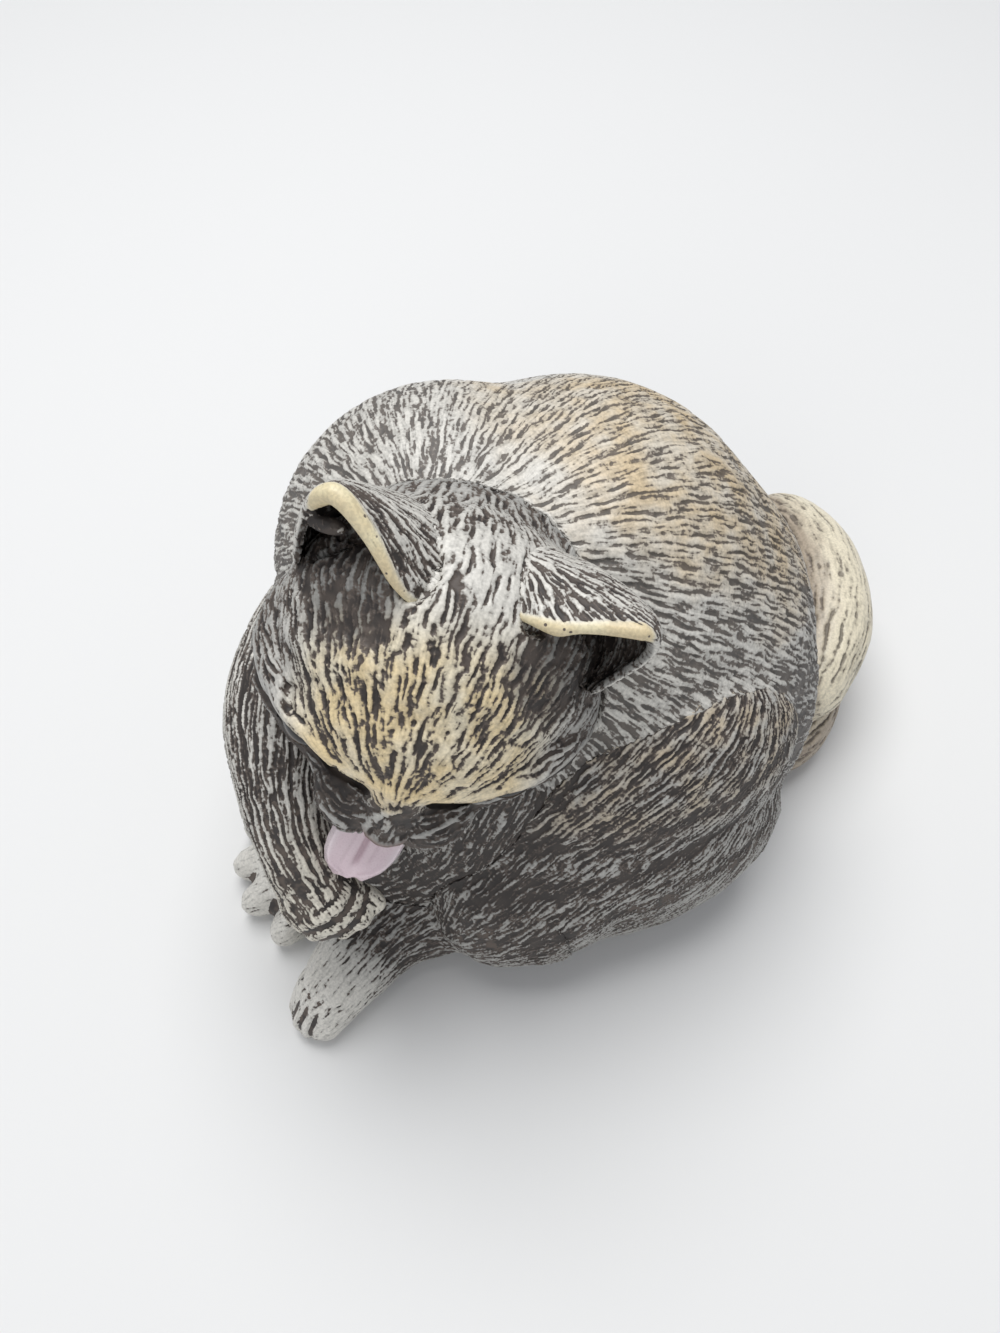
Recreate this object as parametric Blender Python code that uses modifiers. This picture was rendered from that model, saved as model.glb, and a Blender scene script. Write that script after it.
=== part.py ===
"""Resin cat figurine: a seated cat that turns its head and licks a raised forepaw.

The pieces are resin castings bonded on steel pins. The limbs and the tail fit against the torso, the head in
a hollow of the torso, the ears and the tongue in slots of the head, and the eyes are beads in sockets.
Metres, +Z up. The origin is on the standing plane under the torso, -Y is the way the body faces and +X is the
cat's left side.
"""

import math
from collections import namedtuple

import bmesh
import bpy
from mathutils import Euler, Matrix, Vector

MM = 0.001
LEFT, RIGHT = 1, -1

# Every length below is in millimetres; a shape is turned into metres where its mesh is made.

# Fits
SEAM_GAP = 0.3
PIN_GAP = 0.15
PIN_RADIUS = 1.2
PIN_LENGTH = 12.0

# Torso
BACK_HEIGHT = 64.0
BACK_WIDTH = 52.0
BACK_LENGTH = 50.0
RUMP_WIDTH = 48.0
RUMP_REACH = 40.0
SHOULDER_WIDTH = 34.6
SHOULDER_HEIGHT = 64.0
CHEST_REACH = 25.0

# Limbs and tail; a reach is how far the toes or the tail end lie in front of the origin or behind it, and
# the rise is the thigh's slope up to the hip in degrees
LEFT_HIP = 16.0
RIGHT_HIP = 25.5
THIGH_LENGTH = 44.0
THIGH_HEIGHT = 46.0
THIGH_RISE = 38.0
LEFT_FOOT_REACH = 42.0
RIGHT_FOOT_REACH = 27.0
FOREPAW_REACH = 41.6
ELBOW_REACH = 36.0
TAIL_REACH = 60.0
TAIL_THICKNESS = 12.4

# Head, bowed, tilted and turned to the left, in degrees
HEAD_HEIGHT = 57.3
HEAD_FORWARD = 14.5
HEAD_NOD = 35.0
HEAD_TILT = 14.0
HEAD_TURN = 53.0
SKULL_WIDTH = 32.0
SKULL_LENGTH = 27.0
SKULL_DEPTH = 25.0
CHEEK_WIDTH = 36.2
NOSE_REACH = 21.4

# Ears: arched cups, thinner at the outer edge, each given by the inner end of its rim, its tip, the rim's
# outer end and the way its back swells, in the head's own frame
EAR_DEPTH = 7.0
EAR_WALL = 1.8
EAR_THIN = 0.55
EAR_ROOT = 5.0
EAR_TIP = 1.4
EAR_ARCH = 1.7
EAR_RIM = {
    LEFT: ((6.3, 2.4, 9.8), (16.6, 4.0, 14.0), (14.6, -1.4, 4.5), (0.15, 1.0, 0.1)),
    RIGHT: ((-4.0, 2.6, 11.0), (-13.4, 7.8, 14.5), (-15.0, 2.6, 5.5), (0.45, 0.9, 0.1)),
}

EYE_RADIUS = 3.2
EYE_SPACING = 19.4
TONGUE_WIDTH = 7.6
TONGUE_THICKNESS = 1.5
TONGUE_CUP = 0.9

# Modelling: the grid the lumps are pressed on and the facets kept
TORSO_GRAIN = 1.0
LIMB_GRAIN = 0.6
TORSO_FACETS = 1900
HEAD_FACETS = 2150
LEG_FACETS = 1000
TAIL_FACETS = 800

Lump = namedtuple("Lump", "centre half turn", defaults=[(0, 0, 0)])


def collection(name):
    made = bpy.data.collections.new(name)
    bpy.context.scene.collection.children.link(made)
    return made


for old in list(bpy.data.objects):
    bpy.data.objects.remove(old)
PARTS = collection("cat_figurine")
CUTTERS = collection("cutters")


def finish(name, colour, roughness, metallic=0.0):
    made = bpy.data.materials.new(name)
    made.use_nodes = True
    shader = made.node_tree.nodes["Principled BSDF"]
    shader.inputs["Base Color"].default_value = (*colour, 1)
    shader.inputs["Roughness"].default_value = roughness
    shader.inputs["Metallic"].default_value = metallic
    return made


def resin(name, colour):
    return finish(name + "_resin", colour, 0.6)


def add_object(name, shape, material=None, parent=None):
    """An object with the bmesh's shape: a piece of the part if it has a material, else a cutter."""
    mesh = bpy.data.meshes.new(name)
    shape.to_mesh(mesh)
    shape.free()
    made = bpy.data.objects.new(name, mesh)
    made.parent = parent
    if material:
        mesh.materials.append(material)
        mesh.shade_smooth()
        PARTS.objects.link(made)
    else:
        made.hide_render = True
        made.display_type = "WIRE"
        CUTTERS.objects.link(made)
    return made


def freeze(obj):
    """Applies the object's modifiers."""
    bpy.context.view_layer.update()
    graph = bpy.context.evaluated_depsgraph_get()
    mesh = bpy.data.meshes.new_from_object(obj.evaluated_get(graph))
    obj.modifiers.clear()
    obj.data = mesh


def strand(knots):
    """A row of balls along a smooth path through knots of (x, y, z, radius)."""
    points = [Vector(knot) for knot in knots]
    points = [2 * points[0] - points[1], *points, 2 * points[-1] - points[-2]]
    balls = []
    for a, b, c, d in zip(points, points[1:], points[2:], points[3:]):
        steps = math.ceil((c - b).length / (0.3 * min(b.w, c.w)))
        for t in (i / steps for i in range(steps + 1)):
            bend = 2 * b + t * (c - a) + t**2 * (2 * a - 5 * b + 4 * c - d) + t**3 * (3 * b - a - 3 * c + d)
            x, y, z, radius = bend / 2
            balls.append(Lump((x, y, z), (radius, radius, radius)))
    return balls


def clay(name, material, lumps, grain, rounds, facets, parent=None):
    """Lumps pressed into one closed form on a fine grid, smoothed, then thinned to the facets wanted."""
    ball = bmesh.new()
    bmesh.ops.create_uvsphere(ball, u_segments=20, v_segments=12, radius=1)
    unit_ball = bpy.data.meshes.new("unit_ball")
    ball.to_mesh(unit_ball)
    ball.free()
    shape = bmesh.new()
    for lump in lumps:
        turn = Euler(math.radians(angle) for angle in lump.turn)
        pressed = unit_ball.copy()
        pressed.transform(Matrix.LocRotScale(Vector(lump.centre) * MM, turn, Vector(lump.half) * MM))
        shape.from_mesh(pressed)
    made = add_object(name, shape, material, parent)
    press = made.modifiers.new("press", "REMESH")
    press.mode = "VOXEL"
    press.voxel_size = grain * MM
    smooth = made.modifiers.new("smooth", "SMOOTH")
    smooth.iterations = rounds
    freeze(made)
    thin = made.modifiers.new("thin", "DECIMATE")
    thin.ratio = facets / (2 * len(made.data.polygons))
    freeze(made)
    made.data.shade_smooth()
    return made


def plate(name, material, columns, rows, place, thickness, parent, thin=1):
    """A sheet; place gives the point at u across and v along, both from -1 to 1.

    Its thickness falls to the share thin where u is 1.
    """
    shape = bmesh.new()
    bmesh.ops.create_grid(shape, x_segments=columns, y_segments=rows, size=1)
    across = [vert.co.x for vert in shape.verts]
    for vert in shape.verts:
        vert.co = place(vert.co.x, vert.co.y) * MM
    bmesh.ops.recalc_face_normals(shape, faces=shape.faces)
    made = add_object(name, shape, material, parent)
    share = made.vertex_groups.new(name="wall")
    for index, u in enumerate(across):
        share.add([index], 1 - (1 - thin) * (u + 1) / 2, "REPLACE")
    wall = made.modifiers.new("wall", "SOLIDIFY")
    wall.thickness = thickness * MM
    wall.offset = 0
    wall.vertex_group = share.name
    freeze(made)
    return made


def rod(name, material, centre, heading, radius, length):
    shape = bmesh.new()
    bmesh.ops.create_cone(shape, cap_ends=True, segments=16,
                           radius1=radius * MM, radius2=radius * MM, depth=length * MM)
    made = add_object(name, shape, material)
    made.location = centre * MM
    made.rotation_euler = heading.to_track_quat("Z", "Y").to_euler()
    made.data.set_sharp_from_angle(angle=math.radians(40))
    return made


def cut(piece, cutter):
    """Takes the cutter's form out of the piece and drops any crumb that comes loose.

    The exact solver lost the pressed forms, so the manifold one is used.
    """
    boolean = piece.modifiers.new("cut", "BOOLEAN")
    boolean.operation = "DIFFERENCE"
    boolean.solver = "MANIFOLD"
    boolean.object = cutter
    freeze(piece)
    shape = bmesh.new()
    shape.from_mesh(piece.data)
    unseen = set(shape.verts)
    islands = []
    while unseen:
        edge = {unseen.pop()}
        island = set()
        while edge:
            island |= edge
            edge = {link.other_vert(vert) for vert in edge for link in vert.link_edges} & unseen
            unseen -= edge
        islands.append(island)
    body = max(islands, key=len)
    bmesh.ops.delete(shape, geom=[vert for vert in shape.verts if vert not in body], context="VERTS")
    shape.to_mesh(piece.data)
    shape.free()


def pocket(piece):
    """A cutter of the piece's form, larger by the seam's gap all round."""
    shape = bmesh.new()
    shape.from_mesh(piece.data)
    shape.normal_update()
    normals = [vert.normal.copy() for vert in shape.verts]
    for vert, normal in zip(shape.verts, normals):
        vert.co += normal * SEAM_GAP * MM
    made = add_object(piece.name + "_pocket", shape, parent=piece.parent)
    made.location = piece.location
    return made


HEAD_AT = Vector((5.6, -HEAD_FORWARD, HEAD_HEIGHT))

# Torso: a plump rounded back, the chest, the right shoulder and the stump of the neck

TORSO = [
    Lump((-2, RUMP_REACH - 22, 22), (RUMP_WIDTH / 2, 22, 24)),
    Lump((-7, 9, BACK_HEIGHT - 27), (BACK_WIDTH / 2, BACK_LENGTH / 2, 27)),
    Lump((-4, -4, BACK_HEIGHT - 26), (20, 18, 23)),
    Lump((-4, RUMP_REACH - 26, BACK_HEIGHT / 2 - 2), (RUMP_WIDTH / 2 + 1.5, 24.5, 27)),
    Lump((19.5 - SHOULDER_WIDTH, -4, SHOULDER_HEIGHT - 20.5), (19.5, 20.5, 20.5)),
    Lump((0, 11 - CHEST_REACH, BACK_HEIGHT / 2), (14, 11, 20)),
    Lump((0, 0, 15), (RUMP_WIDTH / 2 - 6, 23, 18)),
    *strand([(-6, -1, 47, 14), (*(HEAD_AT + Vector((-6.6, 7.5, -6.3))), 12.8),
             (*(HEAD_AT + Vector((-1.6, 2.5, -3.3))), 10)]),
]
torso = clay("torso", resin("torso", (0.46, 0.42, 0.35)), TORSO, TORSO_GRAIN, 35, TORSO_FACETS)

# Hind legs: a folded thigh and a long flat foot with four toes


def hind_leg(side, name, hip, heel, toe):
    thigh = [
        Lump((side * (hip - 1), 6, THIGH_HEIGHT - 19), (10, 21, 17), (THIGH_RISE, 0, side * -8)),
        Lump((side * hip, 4, 17), (11, THIGH_LENGTH / 2, 18), (-12, 0, side * -10)),
        Lump((side * (hip - 1), 11 - THIGH_LENGTH / 2, 14), (8.5, 10, 13)),
        Lump((side * (hip - 1), THIGH_LENGTH / 2 - 6, 12), (9, 11.5, 13)),
        Lump((side * (hip - 1), THIGH_LENGTH / 2 - 7, 23), (9.5, 11, 12)),
    ]
    heel, toe = Vector(heel), Vector(toe)
    ahead = (toe - heel).normalized()
    aside = Vector((-ahead.y, ahead.x))
    ball = toe - 6.5 * ahead
    foot = strand([(side * hip, 8, 5.5, 5.5), (*heel.lerp((side * hip, 8), 0.45), 7, 6.6), (*heel, 6.5, 6.2),
                   (*ball, 5, 4.6)])
    splay = math.degrees(math.atan2(ahead.y, ahead.x)) + 90
    toes = []
    for gap in (-2.4, -0.8, 0.8, 2.4):
        centre = toe - (3.2 + 0.75 * abs(gap)) * ahead + gap * aside
        toes.append(Lump((*centre, 3.2), (1.6, 3.5, 3.1), (0, 0, splay + 3 * gap)))
    return clay(name, resin(name, (0.44, 0.41, 0.36)), thigh + foot + toes, LIMB_GRAIN, 6, LEG_FACETS)


left_hind_leg = hind_leg(LEFT, "left_hind_leg", LEFT_HIP,
                         (8.6, 17.5 - LEFT_FOOT_REACH), (15.2, -LEFT_FOOT_REACH))
right_hind_leg = hind_leg(RIGHT, "right_hind_leg", RIGHT_HIP,
                          (-19.5, 13 - RIGHT_FOOT_REACH), (-19, -RIGHT_FOOT_REACH))

# Left foreleg: stands under the chest, toes spread

PAW_TOES = ((-13, 7.6, -34), (-8.8, 4.6, -16), (-3.9, 3.7, 0), (1.2, 5.4, 20))
STANDING_FORELEG = [
    *strand([(8.5, -9, 36, 8), (9, -14, 25, 7), (5, 20.5 - FOREPAW_REACH, 13, 5.4),
             (-3, 13.5 - FOREPAW_REACH, 6, 4.8)]),
    Lump((-6, 9.5 - FOREPAW_REACH, 4.6), (8, 6.4, 4.8)),
    *[Lump((x, y - FOREPAW_REACH, 3.2), (2.4, 4.2, 3.4), (0, 0, turn)) for x, y, turn in PAW_TOES],
]
standing_foreleg = clay("standing_foreleg", resin("standing_foreleg", (0.5, 0.48, 0.44)),
                        STANDING_FORELEG, LIMB_GRAIN, 4, LEG_FACETS)

# Right foreleg: raised across the chest to the mouth

RAISED_FORELEG = [
    *strand([(-14, -10, 39, 12), (-12, -20, 40, 9.5), (-5.5, 7.5 - ELBOW_REACH, 39.5, 7.2),
             (2.9, 3 - ELBOW_REACH, 35.8, 4.8), (8.2, 2.2 - ELBOW_REACH, 31.4, 4.4)]),
    Lump((11.2, 2.4 - ELBOW_REACH, 28.6), (4.8, 4.6, 4), (0, 25, 30)),
    *[Lump((13.8 - 0.4 * i * i, 3.6 + 2.2 * i - ELBOW_REACH, 27.2), (3.3, 1.5, 2.6), (0, 30, 30 + 8 * i))
      for i in (-1.5, -0.5, 0.5, 1.5)],
]
raised_foreleg = clay("raised_foreleg", resin("raised_foreleg", (0.46, 0.43, 0.38)),
                      RAISED_FORELEG, LIMB_GRAIN, 4, LEG_FACETS)

# Tail: lies behind the rump, doubles back over itself and ends in a plump tip

THIN = 0.4 * TAIL_THICKNESS
PLUMP = TAIL_THICKNESS / 2
TAIL = strand([(4, 28, 6, THIN), (9, 36, 5.6, THIN), (4, TAIL_REACH - 15, 5.6, THIN),
               (-8, TAIL_REACH - 6.5, 7, THIN), (-18.5, TAIL_REACH - 6, 12.6, 0.97 * PLUMP),
               (-9.5, TAIL_REACH - 7, 16.4, PLUMP), (1, TAIL_REACH - 12.2, 16.2, PLUMP),
               (7, TAIL_REACH - 19.6, 14.6, 0.85 * PLUMP)])
tail = clay("tail", resin("tail", (0.45, 0.38, 0.27)), TAIL, LIMB_GRAIN, 6, TAIL_FACETS)

# Head, modelled upright with the nose to -Y on an empty that poses it

head_pose = bpy.data.objects.new("head_pose", None)
head_pose.location = HEAD_AT * MM
head_pose.rotation_euler = [math.radians(angle) for angle in (HEAD_NOD, HEAD_TILT, HEAD_TURN)]
PARTS.objects.link(head_pose)

HEAD = [
    Lump((0, 0.5, 0), (SKULL_WIDTH / 2, SKULL_LENGTH / 2, SKULL_DEPTH / 2)),
    Lump((0, -6.5, 2.5), (SKULL_WIDTH / 2 - 4, 8.3, 7.5)),
    Lump((0, 7, -4), (SKULL_WIDTH / 2 - 3, 9, 9)),
    Lump((0, 1 - NOSE_REACH / 2, -4.5), (5.5, NOSE_REACH / 2 - 3, 4.4)),
    Lump((0, 6.8 - NOSE_REACH, -9.6), (4.6, 5, 3)),
    *strand([(0, 8.4 - NOSE_REACH, 2.2, 3.6), (0, 5.6 - NOSE_REACH, -0.8, 3.4),
             (0, 2.8 - NOSE_REACH, -3.4, 2.6)]),
]
for side in (LEFT, RIGHT):
    HEAD += [
        Lump((side * (CHEEK_WIDTH / 2 - 7), -3.5, -4.5), (7, 9, 7)),
        Lump((side * 3.7, 5 - NOSE_REACH, -5.5), (4.9, 5, 4)),
        Lump((side * (SKULL_WIDTH / 2 - 7), 3.6 - SKULL_LENGTH / 2, -5), (5, 4, 3.4)),
        *strand([(0, -13.5, 3, 2.1), (side * 6.8, -12, 3.2, 1.9), (side * 11.4, -9.6, 2.2, 1.8),
                 (side * 14.6, -6.2, 0.4, 1.6)]),
        *strand([(side * 5.5, -14.8, -5, 2.2), (side * 10.2, -12.4, -5.8, 2.2),
                 (side * 14, -8.8, -5.2, 2.2)]),
    ]
head = clay("head", resin("head", (0.52, 0.45, 0.32)), HEAD, LIMB_GRAIN, 3, HEAD_FACETS, head_pose)


def ear(side, name):
    inner, tip, outer, back = (Vector(point) for point in EAR_RIM[side])
    back.normalize()
    middle = (inner + outer) / 2
    half = (outer - inner) / 2
    rise = tip - middle

    def place(u, v):
        level = (v + 1) / 2 * (1 + EAR_ROOT / rise.length) - EAR_ROOT / rise.length
        width = max((1 - max(level, 0)**EAR_ARCH)**0.8, EAR_TIP / half.length)
        angle = math.radians(88) * u
        swell = back * EAR_DEPTH * width**0.8 * math.cos(angle)
        return middle + rise * level + half * width * math.sin(angle) + swell

    return plate(name, resin(name, (0.55, 0.5, 0.34)), 9, 10, place, EAR_WALL, head_pose, EAR_THIN)


left_ear = ear(LEFT, "left_ear")
right_ear = ear(RIGHT, "right_ear")


def eye(side, name):
    shape = bmesh.new()
    bmesh.ops.create_uvsphere(shape, u_segments=14, v_segments=9, radius=EYE_RADIUS * MM)
    made = add_object(name, shape, finish(name + "_gloss", (0.01, 0.01, 0.012), 0.1), head_pose)
    made.location = Vector((side * EYE_SPACING / 2, -10.2, -1.5)) * MM
    return made


left_eye = eye(LEFT, "left_eye")
right_eye = eye(RIGHT, "right_eye")

# Tongue: out of the mouth and down onto the raised paw

TONGUE_PATH = [Vector(knot) for knot in
               ((0, 8 - NOSE_REACH, -7.4), (-0.4, 2.5 - NOSE_REACH, -9), (-1.6, -2.5 - NOSE_REACH, -11.4),
                (-2.2, -5.6 - NOSE_REACH, -12.8))]


def tongue_point(u, v):
    t = (v + 1) / 2
    a, b, c, d = TONGUE_PATH
    centre = a * (1 - t)**3 + 3 * b * t * (1 - t)**2 + 3 * c * t**2 * (1 - t) + d * t**3
    half = TONGUE_WIDTH / 2 * math.sqrt(1 - max(0, (t - 0.62) / 0.4)**2)
    return centre + Vector((half * u, 0, TONGUE_CUP * u * u))


tongue = plate("tongue", finish("tongue_pink", (0.72, 0.5, 0.55), 0.35), 7, 9, tongue_point,
               TONGUE_THICKNESS, head_pose)

# Fits: the standing plane, the head in the torso, then what lies against them

below = bmesh.new()
bmesh.ops.create_cube(below, size=0.4)
bmesh.ops.translate(below, vec=(0, 0, -0.2), verts=below.verts)
standing_plane = add_object("standing_plane", below)
for piece in (torso, left_hind_leg, right_hind_leg, standing_foreleg, tail):
    cut(piece, standing_plane)

head_pocket = pocket(head)
cut(torso, head_pocket)
torso_pocket = pocket(torso)
for piece in (left_hind_leg, right_hind_leg, standing_foreleg, raised_foreleg, tail):
    cut(piece, torso_pocket)
cut(standing_foreleg, pocket(left_hind_leg))
for piece in (standing_foreleg, raised_foreleg):
    cut(piece, head_pocket)
cut(raised_foreleg, pocket(tongue))
for piece in (left_ear, right_ear, left_eye, right_eye, tongue):
    cut(head, pocket(piece))

# Pins across the seams


def pin(name, piece, start, heading):
    """Sets a pin where the line from start meets the torso, in holes of the torso and of the piece."""
    heading = Vector(heading)
    centre = torso.ray_cast(Vector(start) * MM, heading)[1] / MM
    rod(name, finish(name + "_steel", (0.6, 0.6, 0.62), 0.35, 1.0), centre, heading, PIN_RADIUS, PIN_LENGTH)
    hole = rod(name + "_hole", None, centre, heading, PIN_RADIUS + PIN_GAP, PIN_LENGTH + 2 * PIN_GAP)
    cut(torso, hole)
    cut(piece, hole)


pin("neck_pin", head, HEAD_AT, (-0.56, 0.68, -0.48))
pin("left_hip_pin", left_hind_leg, (LEFT_HIP + 40, 5, THIGH_HEIGHT / 2), (-1, 0, 0))
pin("right_hip_pin", right_hind_leg, (-RIGHT_HIP - 40, 5, THIGH_HEIGHT / 2 - 2), (1, 0, 0))
pin("left_shoulder_pin", standing_foreleg, (-1, 13.5 - FOREPAW_REACH, 7), (0.45, 0.6, 0.66))
pin("right_shoulder_pin", raised_foreleg, (-8, -ELBOW_REACH - 9, 41), (-0.12, 1, 0))
pin("tail_pin", tail, (17, 49, 6), (-0.53, -0.85, 0))
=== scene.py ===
"""Resin cat figurine, dressed: carved fur under a dark wash, on a pale floor in soft studio light."""

import math

import bmesh
import bpy
import numpy as np
from mathutils import Euler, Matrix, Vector


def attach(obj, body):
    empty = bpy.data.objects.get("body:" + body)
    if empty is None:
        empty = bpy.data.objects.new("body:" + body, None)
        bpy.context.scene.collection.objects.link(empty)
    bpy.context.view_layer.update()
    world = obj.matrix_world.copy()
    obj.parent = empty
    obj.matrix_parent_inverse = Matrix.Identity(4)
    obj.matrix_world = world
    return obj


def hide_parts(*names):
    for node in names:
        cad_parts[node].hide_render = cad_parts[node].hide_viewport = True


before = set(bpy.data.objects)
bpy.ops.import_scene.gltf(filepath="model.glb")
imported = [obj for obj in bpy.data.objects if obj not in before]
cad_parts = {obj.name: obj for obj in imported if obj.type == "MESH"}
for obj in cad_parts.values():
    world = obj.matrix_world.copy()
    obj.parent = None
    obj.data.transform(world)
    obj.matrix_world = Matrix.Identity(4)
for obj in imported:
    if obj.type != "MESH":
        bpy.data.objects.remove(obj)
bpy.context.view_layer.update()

# Cast form
# The figurine is cast from one carved master, so limbs and torso run into each other with soft creases.
# This smooth form of the whole cat is not shown: the furred pieces are laid on it where they meet.

MM = 0.001
FURRED = ("torso", "head", "raised_foreleg", "standing_foreleg", "left_hind_leg", "right_hind_leg", "tail")
WELD = 0.002 * MM
FORM_SWELL = 0.3 * MM
FORM_GRAIN = 0.6 * MM
FORM_ROUNDS = 10


def add_piece(name, mesh):
    made = bpy.data.objects.new(name, mesh)
    bpy.context.scene.collection.objects.link(made)
    return made


def plain_mesh(obj):
    """The object's mesh with its modifiers applied; the object is removed."""
    bpy.context.view_layer.update()
    graph = bpy.context.evaluated_depsgraph_get()
    mesh = bpy.data.meshes.new_from_object(obj.evaluated_get(graph))
    bpy.data.objects.remove(obj)
    return mesh


def pressed(name, nodes, swell, grain, rounds):
    """A fine even mesh of one or more solids, swollen along their normals and smoothed."""
    shape = bmesh.new()
    for node in nodes:
        shape.from_mesh(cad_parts[node].data)
    bmesh.ops.remove_doubles(shape, verts=shape.verts, dist=WELD)
    shape.normal_update()
    normals = [vert.normal.copy() for vert in shape.verts]
    for vert, normal in zip(shape.verts, normals):
        vert.co += normal * swell
    return evened(name, shape, grain, rounds)


def evened(name, shape, grain, rounds):
    """A closed shape turned into a fine even mesh and smoothed; the shape is freed."""
    mesh = bpy.data.meshes.new(name)
    shape.to_mesh(mesh)
    shape.free()
    obj = add_piece(name, mesh)
    remesh = obj.modifiers.new("even", "REMESH")
    remesh.mode = "VOXEL"
    remesh.voxel_size = grain
    smooth = obj.modifiers.new("smooth", "SMOOTH")
    smooth.iterations = rounds
    return plain_mesh(obj)


cast_form = add_piece("cast_form", pressed("cast_form", FURRED, FORM_SWELL, FORM_GRAIN, FORM_ROUNDS))

# Torso
# Resin casting, carved all over with short strokes that run from the nape over the back and down the flanks.
# Painted grey and cream, ochre over the rump, under a dark wash that was wiped off the ridges.

GREY = np.array((0.47, 0.46, 0.43))
PALE = np.array((0.62, 0.60, 0.55))
CREAM = np.array((0.76, 0.69, 0.53))
OCHRE = np.array((0.58, 0.44, 0.25))
RUMP_TAN = np.array((0.62, 0.52, 0.37))
DARK_WASH = (0.034, 0.028, 0.025, 1)
BROWN_WASH = (0.108, 0.085, 0.070, 1)
STROKE_SPREAD = 0.128
STROKE_WANDER = 1.2
CHIP_SHARE = 2.6
LAY_WITHIN = 1.2 * MM
PAINT_SPECK = 0.3 * MM
OCHRE_PATCH = 4.0 * MM
WASH_STAIN = 2.2 * MM
BUBBLE_GAP = 1.2 * MM
NAPE = np.array((-3.0, -11.5, 62.0))
RUMP_FACING = (0.12, 0.45, 0.88)
FLANK_LEAN = np.array((0.0, 0.9, 0.0))


def wire(tree, kind, inputs, **settings):
    """A node with its settings, and its inputs set to values or linked to sockets."""
    made = tree.nodes.new(kind)
    for key, value in settings.items():
        setattr(made, key, value)
    for key, value in inputs.items():
        if isinstance(value, bpy.types.NodeSocket):
            tree.links.new(value, made.inputs[key])
        else:
            made.inputs[key].default_value = value
    return made


def sums(tree, operation, *values):
    return wire(tree, "ShaderNodeMath", dict(enumerate(values)), operation=operation).outputs[0]


def vectors(tree, operation, *values):
    made = wire(tree, "ShaderNodeVectorMath", dict(enumerate(values)), operation=operation)
    return made.outputs["Value" if operation in ("DOT_PRODUCT", "DISTANCE") else "Vector"]


def ramp(tree, value, low, high, to_low=0.0, to_high=1.0):
    inputs = {"Value": value, "From Min": low, "From Max": high, "To Min": to_low, "To Max": to_high}
    return wire(tree, "ShaderNodeMapRange", inputs, interpolation_type="SMOOTHSTEP").outputs["Result"]


def mixed(tree, factor, a, b):
    """Two colours mixed."""
    return wire(tree, "ShaderNodeMix", {0: factor, 6: a, 7: b}, data_type="RGBA").outputs[2]


def mottle(tree, place, size, detail=0.0):
    """Noise with features of about this size, from 0 to 1."""
    inputs = {"Vector": place, "Scale": 1 / size, "Detail": detail}
    return wire(tree, "ShaderNodeTexNoise", inputs).outputs[0]


def new_paint(name):
    """A new material, its tree and its shader."""
    material = bpy.data.materials.new(name)
    material.use_nodes = True
    return material, material.node_tree, material.node_tree.nodes["Principled BSDF"]


def strokes(tree, place, flow, width, length):
    """Carver's strokes: noise blurred along the flow, above zero on ridges and below it in grooves."""
    wander = wire(tree, "ShaderNodeTexNoise", {"Vector": place, "Scale": 0.25 / width, "Detail": 0.0})
    place = vectors(tree, "MULTIPLY_ADD", wander.outputs["Color"], (STROKE_WANDER * width,) * 3, place)
    shifts = np.linspace(-0.5, 0.5, 2 * math.ceil(1.15 * length / width) + 1)
    weights = np.cos(shifts * math.pi / 1.2)
    weights /= weights.sum()
    total = -0.5
    for shift, weight in zip(shifts, weights):
        point = vectors(tree, "MULTIPLY_ADD", flow, (shift * length,) * 3, place)
        total = sums(tree, "MULTIPLY_ADD", mottle(tree, point, width, 1.0), weight, total)
    total = sums(tree, "DIVIDE", total, STROKE_SPREAD * math.sqrt(width / length))
    chips = sums(tree, "SUBTRACT", mottle(tree, place, 0.9 * width, 1.0), 0.5)
    return sums(tree, "MULTIPLY_ADD", chips, CHIP_SHARE, total)


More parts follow.
